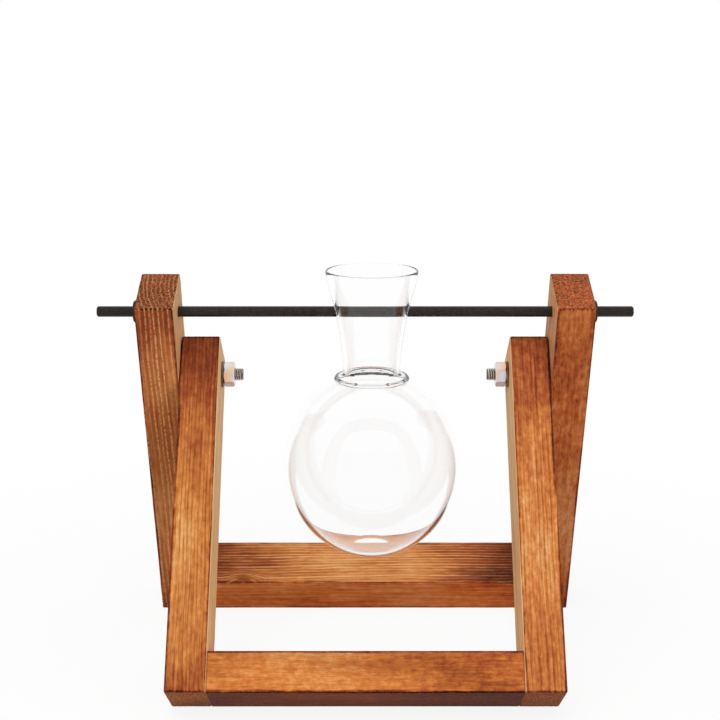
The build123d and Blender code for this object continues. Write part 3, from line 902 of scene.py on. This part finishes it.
def nutRings(thickness):
    flats = nut["flats"] * mm
    face = nut["faceRadius"] * mm
    bore = nut["bore"] * mm
    lead = nut["lead"] * mm
    slope = nut["turnedSlope"]
    return [
        level(lead, bore),
        level(0, bore + lead),
        level(0, face),
        lambda angle: ((hexRadius(flats, angle) - face) * slope, hexRadius(flats, angle)),
        lambda angle: (thickness - (hexRadius(flats, angle) - face) * slope, hexRadius(flats, angle)),
        level(thickness, face),
        level(thickness, bore + lead),
        level(thickness - lead, bore),
    ]


def washerRings(thickness, outside):
    soft = washer["rounding"] * mm
    rings = [level(0, washer["bore"] * mm)]
    rings += rounding(soft, outside - soft, soft, 180, 90, 3)
    rings += rounding(thickness - soft, outside - soft, soft, 90, 0, 3)
    rings.append(level(thickness, washer["bore"] * mm))
    return rings


thread = threadTree()
for side, sign in (("left", -1), ("right", 1)):
    low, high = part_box("pivot_bolt_" + side)
    length = high.x - low.x
    start = low.x if sign > 0 else high.x  # the bolt's tip, on the inside
    boltMesh = turned("bolt_" + side, boltRings(length), bolt["sides"])
    piece = newPiece("zinc_bolt_" + side, boltMesh)
    values = {
        "Pitch": bolt["pitch"] * mm, "Depth": bolt["threadDepth"] * mm, "Start": 0.0,
        "Length": bolt["threadLength"] * mm, "Radius": bolt["radius"] * mm, "Metal": threadZinc,
    }
    grow(piece, thread, values)
    turn = Matrix.Rotation(0 if sign > 0 else math.pi, 4, "Z")
    spin = places["front"].to_3x3().to_4x4()
    piece.data.transform(Matrix.Translation((start, foldPivot.y, foldPivot.z)) @ spin @ turn)
    piece.data.shade_smooth()
    piece.data.set_sharp_from_angle(angle=math.radians(bolt["sharpAngle"]))
    finishPiece(piece, "front_frame", "pivot_bolt_" + side)

    low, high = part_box("hex_nut_" + side)
    nutMesh = turned("nut_" + side, nutRings(high.x - low.x), nut["sides"], closed=True)
    nutMesh.transform(Matrix.Translation((low.x, foldPivot.y, foldPivot.z)) @ spin)
    smoothMesh(nutMesh, zinc, nut["sharpAngle"])
    nutPiece = newPiece("zinc_nut_" + side, nutMesh)
    finishPiece(nutPiece, "front_frame", "hex_nut_" + side)

    low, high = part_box("nut_washer_" + side)
    discRings = washerRings(high.x - low.x, (high.z - low.z) / 2)
    washerMesh = turned("washer_" + side, discRings, washer["sides"], closed=True)
    washerMesh.transform(Matrix.Translation((low.x, foldPivot.y, foldPivot.z)))
    smoothMesh(washerMesh, shadedZinc)
    washerPiece = newPiece("zinc_washer_" + side, washerMesh)
    finishPiece(washerPiece, "front_frame", "nut_washer_" + side)
print("stage 4: bolts, nuts and washers made")


# Glass vase, turned about its own axis, with a hole drilled on each side of the neck

vase = {
    "wall": 1.5, "rimWall": 1.0, "rimRadius": 20.8, "neckAtRod": 16.4, "neckRadius": 12.9,
    "collarRadius": 16.6, "collarHeight": 2.2, "collarBulge": 0.3, "creaseHeight": 2.0,
    "bulbRadius": 40.0, "bulbHalfHeight": 43.0, "bulbBelowRod": 70.8, "baseRadius": 10.5, "basePunt": 1.0,
    "holeRadius": 2.7, "rodSlope": 0.20, "rimSlope": 0.10,
    "sides": 192, "bulbRows": 60, "neckRows": 34, "bendRows": 6, "rimRows": 8, "holeSides": 48,
    "sharpAngle": 32.0,
}
glass = {"index": 1.40, "tint": screen(206, 209, 211), "absorption": 5.0, "groundRoughness": 0.35}


def neckCurve(share, foot, rim, inset):  # radius and height on the neck, upright at its foot and flaring above
    joint = -foot / (rim - foot)  # the rod's height, as a share of the neck
    atFoot = (vase["neckRadius"], foot, 0)
    atRod = (vase["neckAtRod"], 0.0, vase["rodSlope"])
    atRim = (vase["rimRadius"], rim, vase["rimSlope"])
    if share < joint:
        start, end, local = atFoot, atRod, share / joint
    else:
        start, end, local = atRod, atRim, (share - joint) / (1 - joint)
    startRadius, startHeight, startSlope = start
    endRadius, endHeight, endSlope = end
    reach = endHeight - startHeight
    staying = 2 * local**3 - 3 * local**2 + 1
    leaving = local**3 - 2 * local**2 + local
    arriving = local**3 - local**2
    radius = staying * startRadius + leaving * reach * startSlope
    radius += (1 - staying) * endRadius + arriving * reach * endSlope
    return radius - inset, startHeight + reach * local


# Radius and height in millimetres: out from the base, up, over the rim and down inside
def vaseProfile(rimHeight):
    wall = vase["wall"]
    centre = -vase["bulbBelowRod"]

    def bulb(inset, lowRadius, highRadius, rows):
        wide = vase["bulbRadius"] - inset
        tall = vase["bulbHalfHeight"] - inset
        start = -math.acos(lowRadius / wide)
        end = math.acos(highRadius / wide)
        turns = [start + (end - start) * row / rows for row in range(rows + 1)]
        return [(wide * math.cos(turn), centre + tall * math.sin(turn)) for turn in turns]

    outerBulb = bulb(0, vase["baseRadius"], vase["collarRadius"], vase["bulbRows"])
    innerBulb = bulb(wall, vase["baseRadius"], vase["collarRadius"] - wall, vase["bulbRows"])
    collarFoot = outerBulb[-1][1]
    bulge = vase["collarBulge"]
    collarTop = (vase["collarRadius"] - bulge, collarFoot + vase["collarHeight"])
    neckFoot = collarTop[1] + vase["creaseHeight"]
    points = []
    rows = vase["bendRows"]
    for row in range(rows):
        share = row / rows
        points.append((vase["baseRadius"] * share, outerBulb[0][1] + vase["basePunt"] * (1 - share**2)))
    points += outerBulb
    for row in range(1, rows):  # the collar's rounded side
        turn = math.pi * row / rows
        points.append((
            vase["collarRadius"] + bulge * math.sin(turn) * 2 - bulge * row / rows,
            collarFoot + vase["collarHeight"] * row / rows,
        ))
    points.append(collarTop)
    for row in range(1, rows):  # the crease under the neck
        turn = math.pi / 2 * row / rows
        points.append((
            collarTop[0] + (vase["neckRadius"] - collarTop[0]) * math.sin(turn),
            neckFoot - vase["creaseHeight"] * math.cos(turn),
        ))
    bead = vase["rimWall"] / 2
    rimCentre = rimHeight - bead
    neckRows = vase["neckRows"]
    for row in range(neckRows + 1):
        points.append(neckCurve(row / neckRows, neckFoot, rimCentre, 0))
    topRadius = points[-1][0] - bead
    for row in range(1, vase["rimRows"]):
        turn = math.pi * row / vase["rimRows"]
        points.append((topRadius + bead * math.cos(turn), rimCentre + bead * math.sin(turn)))
    for row in range(neckRows, -1, -1):  # the wall thins towards the rim
        share = row / neckRows
        points.append(neckCurve(share, neckFoot, rimCentre, wall + (vase["rimWall"] - wall) * share))
    lowNeck = points[-1][0]
    innerTop = innerBulb[-1][0]
    for row in range(1, rows + 1):  # inside, the wall follows the crease and the collar
        turn = math.pi / 2 * (1 - row / rows)
        points.append((
            innerTop + (lowNeck - innerTop) * math.sin(turn),
            neckFoot - (vase["creaseHeight"] + wall) * math.cos(turn),
        ))
    points += reversed(innerBulb)
    for row in range(rows - 1, -1, -1):
        share = row / rows
        points.append((vase["baseRadius"] * share, innerBulb[0][1] + vase["basePunt"] * (1 - share**2)))
    return points


def glassMaterial(name, roughness):
    material, tree, shader = newMaterial(name)
    shader.inputs["Base Color"].default_value = (1, 1, 1, 1)
    shader.inputs["Roughness"].default_value = roughness
    shader.inputs["IOR"].default_value = glass["index"]
    shader.inputs["Transmission Weight"].default_value = 1.0
    wires = {"Color": glass["tint"], "Density": glass["absorption"]}
    absorb = put(tree, "ShaderNodeVolumeAbsorption", wires)
    plug(tree, tree.nodes["Material Output"].inputs["Volume"], absorb.outputs[0])
    return material


low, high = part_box("glass_vase")
vaseCentre = (low.x + high.x) / 2
rimHeight = (high.z - rodCentre.z) / mm
vaseRings = [level(height * mm, radius * mm) for radius, height in vaseProfile(rimHeight)]
vaseMesh = turned("clear_vase", vaseRings, vase["sides"])
upright = Matrix.Rotation(-math.pi / 2, 4, "Y")
vaseMesh.transform(Matrix.Translation((vaseCentre, rodCentre.y, rodCentre.z)) @ upright)
clearGlass = glassMaterial("clear glass", 0.0)
groundGlass = glassMaterial("ground glass", glass["groundRoughness"])
vaseMesh.materials.append(clearGlass)
vaseMesh.materials.append(groundGlass)
vasePiece = newPiece("clear_vase", vaseMesh)
reach = vase["rimRadius"] * 2 * mm
drillRadius = vase["holeRadius"] * mm
drillRings = [level(-reach, 0), level(-reach, drillRadius), level(reach, drillRadius), level(reach, 0)]
drillMesh = turned("drill", drillRings, vase["holeSides"])
drillMesh.transform(Matrix.Translation((vaseCentre, rodCentre.y, rodCentre.z)))
drillMesh.materials.append(groundGlass)
drill = newPiece("drill", drillMesh)
cut = vasePiece.modifiers.new("drilled", "BOOLEAN")
cut.operation = "DIFFERENCE"
cut.solver = "EXACT"
cut.object = drill
cut.material_mode = "TRANSFER"
graph = bpy.context.evaluated_depsgraph_get()
drilled = bpy.data.meshes.new_from_object(vasePiece.evaluated_get(graph), depsgraph=graph)
vasePiece.modifiers.remove(cut)
vasePiece.data = drilled
bpy.data.objects.remove(drill)
drilled.shade_smooth()
drilled.set_sharp_from_angle(angle=math.radians(vase["sharpAngle"]))
vasePiece.visible_shadow = False  # thin clear glass lets the light through to the crossbar
finishPiece(vasePiece, "vase", "glass_vase")
print("stage 5: vase made,", len(drilled.polygons), "faces")


# Dowels stay as the frame has them, hidden in their joints, with a plain wood finish

dowel = {
    "cells": (60.0, 900.0, 900.0), "dark": screen(206, 168, 118), "light": screen(232, 204, 160),
    "roughness": 0.7,
}


def dowelMaterial():
    material, tree, shader = newMaterial("dowel wood")
    coordinates = put(tree, "ShaderNodeTexCoord").outputs["Object"]
    streaks = noise(tree, vectorCalc(tree, "MULTIPLY", coordinates, dowel["cells"]), 1.0, 3.0)
    plug(tree, shader.inputs["Base Color"], blended(tree, streaks, dowel["dark"], dowel["light"]))
    shader.inputs["Roughness"].default_value = dowel["roughness"]
    return material


dowelWood = dowelMaterial()
for name, node in frame["nodes"].items():
    if "dowel" in name:
        node.data.materials.clear()
        node.data.materials.append(dowelWood)


# Studio: two soft lamps, a white world, a pale floor and the camera

studio = {
    "keyPower": 9.6, "keySize": 1.0, "keyPlace": (-0.25, -0.75, 1.25),
    "fillPower": 4.6, "fillSize": 0.9, "fillPlace": (0.75, -1.05, 0.30), "aim": (0, 0.01, 0.09),
    "ambient": 0.42, "sideLight": 0.32, "frontDim": 0.86, "frontBand": (-0.5, 0.35),
    "floorSize": 6.0, "floorBounce": 0.30, "floorWhite": 0.97, "floorGlow": 0.88,
    "fadeStart": 0.10, "fadeEnd": 0.42, "bounces": 32,
}
camera = {"place": (-0.0023, -0.6517, 0.2897), "tilt": 77.025, "lens": 75.05, "sensor": 36.0}


def lamp(name, power, size, place, target):
    data = bpy.data.lights.new(name, "AREA")
    data.energy = power
    data.shape = "DISK"
    data.size = size
    light = bpy.data.objects.new(name, data)
    light.visible_glossy = False  # no round lamp shows in the glass
    light.visible_transmission = False
    light.location = place
    light.rotation_euler = (Vector(target) - Vector(place)).to_track_quat("-Z", "Y").to_euler()
    bpy.context.scene.collection.objects.link(light)


def whiteRays(tree):  # 1 for rays that show the background itself: camera, glossy and transmission
    path = put(tree, "ShaderNodeLightPath").outputs
    seen = calc(tree, "MAXIMUM", path["Is Camera Ray"], path["Is Glossy Ray"])
    return calc(tree, "MAXIMUM", seen, path["Is Transmission Ray"])


def lightWorld():  # plain white to look at, softer as light, and brighter from the sides
    world = bpy.data.worlds.new("white studio")
    bpy.context.scene.world = world
    world.use_nodes = True
    sky = world.node_tree
    direction = put(sky, "ShaderNodeTexCoord").outputs["Generated"]
    facing = put(sky, "ShaderNodeSeparateXYZ", {0: direction}).outputs
    sideways = calc(sky, "ABSOLUTE", facing["X"])
    ambient = calc(sky, "MULTIPLY_ADD", sideways, studio["sideLight"], studio["ambient"])
    strength = calc(sky, "MULTIPLY_ADD", whiteRays(sky), calc(sky, "SUBTRACT", 1.0, ambient), ambient)
    # In reflections, the room behind the camera is darker
    dim = ease(sky, facing["Y"], *studio["frontBand"], studio["frontDim"], 1.0)
    mirrored = put(sky, "ShaderNodeLightPath").outputs["Is Glossy Ray"]
    dim = calc(sky, "MULTIPLY_ADD", mirrored, calc(sky, "SUBTRACT", dim, 1.0), 1.0)
    background = sky.nodes["Background"]
    background.inputs["Color"].default_value = (1, 1, 1, 1)
    plug(sky, background.inputs["Strength"], calc(sky, "MULTIPLY", strength, dim))


def floorMaterial():  # matt, so that it keeps the shadow, and plain white farther out
    material, tree, shader = newMaterial("pale floor")
    coordinates = put(tree, "ShaderNodeTexCoord").outputs["Object"]
    distance = put(tree, "ShaderNodeVectorMath", {0: coordinates}, operation="LENGTH").outputs["Value"]
    glow = ease(tree, distance, studio["fadeStart"], studio["fadeEnd"], studio["floorGlow"], 1.0)
    seen = whiteRays(tree)
    lift = studio["floorWhite"] - studio["floorBounce"]
    shade = calc(tree, "MULTIPLY_ADD", seen, lift, studio["floorBounce"])
    shade = put(tree, "ShaderNodeCombineColor", {0: shade, 1: shade, 2: shade}).outputs[0]
    matt = put(tree, "ShaderNodeBsdfDiffuse", {"Color": shade}).outputs[0]
    white = put(tree, "ShaderNodeEmission", {"Color": (1, 1, 1, 1), "Strength": 1.0}).outputs[0]
    wires = {0: calc(tree, "MULTIPLY", glow, seen), 1: matt, 2: white}
    mixed = put(tree, "ShaderNodeMixShader", wires).outputs[0]
    tree.nodes.remove(shader)
    plug(tree, tree.nodes["Material Output"].inputs["Surface"], mixed)
    return material


lamp("key", studio["keyPower"], studio["keySize"], studio["keyPlace"], studio["aim"])
lamp("fill", studio["fillPower"], studio["fillSize"], studio["fillPlace"], studio["aim"])
lightWorld()

floorMesh = bpy.data.meshes.new("floor")
floorHalf = studio["floorSize"] / 2
corners = [(x * floorHalf, y * floorHalf, 0) for x, y in ((-1, -1), (1, -1), (1, 1), (-1, 1))]
floorMesh.from_pydata(corners, [], [(0, 1, 2, 3)])
floor = newPiece("floor", floorMesh)
floorMesh.materials.append(floorMaterial())

lens = bpy.data.cameras.new("camera")
lens.lens = camera["lens"]
lens.sensor_width = camera["sensor"]
viewer = bpy.data.objects.new("camera", lens)
viewer.location = camera["place"]
viewer.rotation_euler = (math.radians(camera["tilt"]), 0, 0)
bpy.context.scene.collection.objects.link(viewer)
bpy.context.scene.camera = viewer
bpy.context.scene.view_settings.view_transform = "Standard"
paths = bpy.context.scene.cycles  # light crosses many walls of glass in the collar and the rim
paths.max_bounces = studio["bounces"]
paths.glossy_bounces = studio["bounces"]
paths.transmission_bounces = studio["bounces"]
print("stage 6: studio ready")
